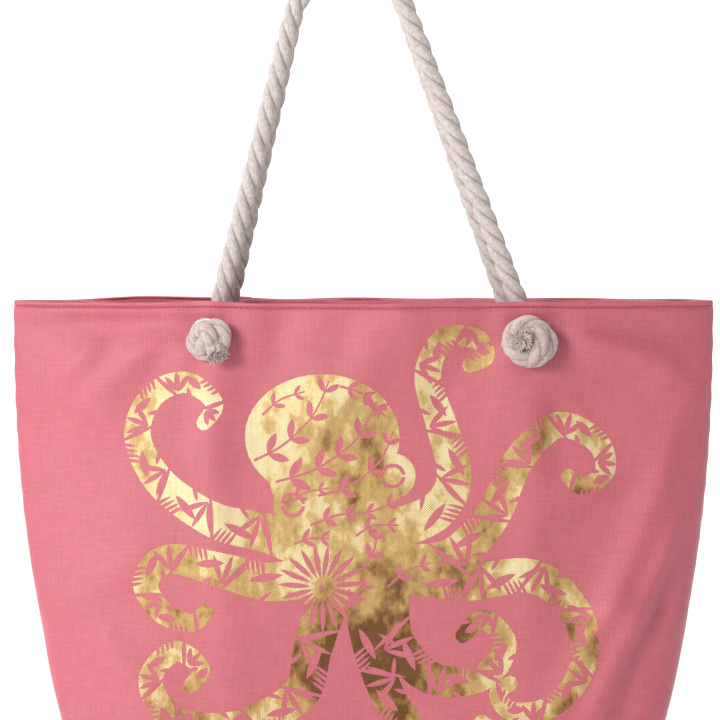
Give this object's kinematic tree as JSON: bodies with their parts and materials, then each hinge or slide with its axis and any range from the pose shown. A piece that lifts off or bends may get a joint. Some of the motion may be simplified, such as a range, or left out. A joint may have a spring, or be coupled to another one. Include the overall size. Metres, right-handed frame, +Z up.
{
  "type": "beach tote bag",
  "caption": "Open woven beach tote on a flat base, with rope handles that run through metal eyelets, knot outside and fold over the rim. A foil octopus is printed on the front.",
  "frame": {"origin": "middle of the flat base, on the surface that the bag stands on", "axes": "+Z up to the handles, -Y out of the printed front, +X to the right seen from the front"},
  "size_m": [0.5338, 0.1502, 0.6374],
  "materials": {
    "canvas": "coral pink plain weave of matt polyester yarn, about one thread per millimetre",
    "lining": "thin plain polyester lining in paler pink",
    "board": "stiff off-white board",
    "thread": "pink polyester sewing thread",
    "foil": "heat-pressed gold foil film that follows the weave, with fine pinholes",
    "eyelet_metal": "nickel-plated pressed eyelet",
    "rope": "natural white three-strand cotton rope, soft and slightly fuzzy"
  },
  "bodies": {
    "bag": {"front_panel": "canvas", "back_panel": "canvas", "base_panel": "canvas", "front_facing": "canvas", "back_facing": "canvas", "front_lining": "lining", "back_lining": "lining", "base_lining": "lining", "base_board": "board", "slip_pocket": "lining", "front_topstitch": "thread", "back_topstitch": "thread", "foil_print": "foil", "front_left_eyelet": "eyelet_metal", "front_left_washer": "eyelet_metal", "front_left_knot": "rope", "front_left_rope_end": "rope", "front_right_eyelet": "eyelet_metal", "front_right_washer": "eyelet_metal", "front_right_knot": "rope", "front_right_rope_end": "rope", "back_left_eyelet": "eyelet_metal", "back_left_washer": "eyelet_metal", "back_left_knot": "rope", "back_left_rope_end": "rope", "back_right_eyelet": "eyelet_metal", "back_right_washer": "eyelet_metal", "back_right_knot": "rope", "back_right_rope_end": "rope"},
    "front_handle": {"front_handle_rope": "rope"},
    "back_handle": {"back_handle_rope": "rope"}
  },
  "joints": [
    {"name": "front_handle_swing", "type": "hinge", "parent": "bag", "child": "front_handle", "pos_m": [0, -0.0305, 0.38], "axis": [1, 0, 0], "range_deg": [0, 110]},
    {"name": "back_handle_swing", "type": "hinge", "parent": "bag", "child": "back_handle", "pos_m": [0, 0.0305, 0.38], "axis": [-1, 0, 0], "range_deg": [0, 110]}
  ]
}
